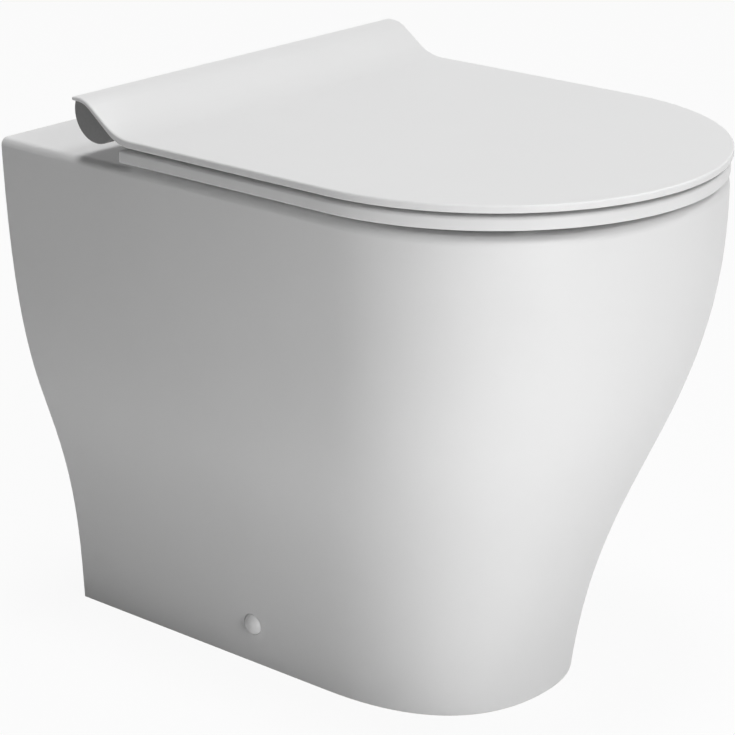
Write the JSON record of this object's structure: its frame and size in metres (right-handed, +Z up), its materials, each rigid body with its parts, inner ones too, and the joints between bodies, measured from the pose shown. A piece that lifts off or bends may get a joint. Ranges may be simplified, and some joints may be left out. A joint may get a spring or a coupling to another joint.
{
  "type": "back to wall toilet",
  "caption": "White china back to wall toilet pan with a slim hinged seat and a lid that rises in a wave over the hinge, with soft-close hinge hardware, trapway and concealed floor fixings.",
  "frame": {"origin": "on the floor, midway between the wall plane and the front of the lid, on the middle plane", "axes": "+Z up, +Y towards the wall behind the pan, +X to the right of someone who faces the pan; the front faces -Y"},
  "size_m": [0.3708, 0.5343, 0.4698],
  "materials": {
    "china": "white glaze, glossy",
    "seat_plastic": "white moulded seat resin, satin gloss",
    "hinge_plastic": "pale grey moulded plastic",
    "cap_plastic": "white moulded plastic",
    "fixing_plastic": "natural nylon",
    "damper_plastic": "dark grey moulded plastic",
    "pale_rubber": "translucent white elastomer",
    "black_rubber": "black rubber",
    "chromed_metal": "bright chrome plate",
    "steel": "zinc plated steel"
  },
  "bodies": {
    "pan_body": {"pan": "china", "inlet_seal": "black_rubber", "hinge_post_left": "chromed_metal", "hinge_post_right": "chromed_metal", "deck_gaskets": "pale_rubber", "hinge_studs": "steel", "cone_washers": "black_rubber", "wing_nuts": "fixing_plastic", "seat_pin": "steel", "lid_pin": "steel", "seat_damper_shaft": "steel", "lid_damper_shaft": "steel", "thrust_washers": "fixing_plastic", "floor_bracket_left": "steel", "floor_bracket_right": "steel", "bracket_nuts": "steel", "side_bushes": "fixing_plastic", "side_screws": "steel", "side_caps": "cap_plastic"},
    "seat_body": {"seat_ring": "seat_plastic", "seat_buffers": "pale_rubber", "seat_bush": "fixing_plastic", "seat_damper": "damper_plastic"},
    "lid_body": {"lid_panel": "seat_plastic", "lid_buffers": "pale_rubber", "lid_barrel_left": "hinge_plastic", "lid_barrel_right": "hinge_plastic", "barrel_screws": "steel", "lid_bush": "fixing_plastic", "lid_damper": "damper_plastic"}
  },
  "joints": [
    {"name": "seat_hinge", "type": "hinge", "parent": "pan_body", "child": "seat_body", "pos_m": [0, 0.1607, 0.45], "axis": [-1, 0, 0], "range_deg": [0, 97]},
    {"name": "lid_hinge", "type": "hinge", "parent": "seat_body", "child": "lid_body", "pos_m": [0, 0.1607, 0.45], "axis": [-1, 0, 0], "range_deg": [0, 98]}
  ]
}
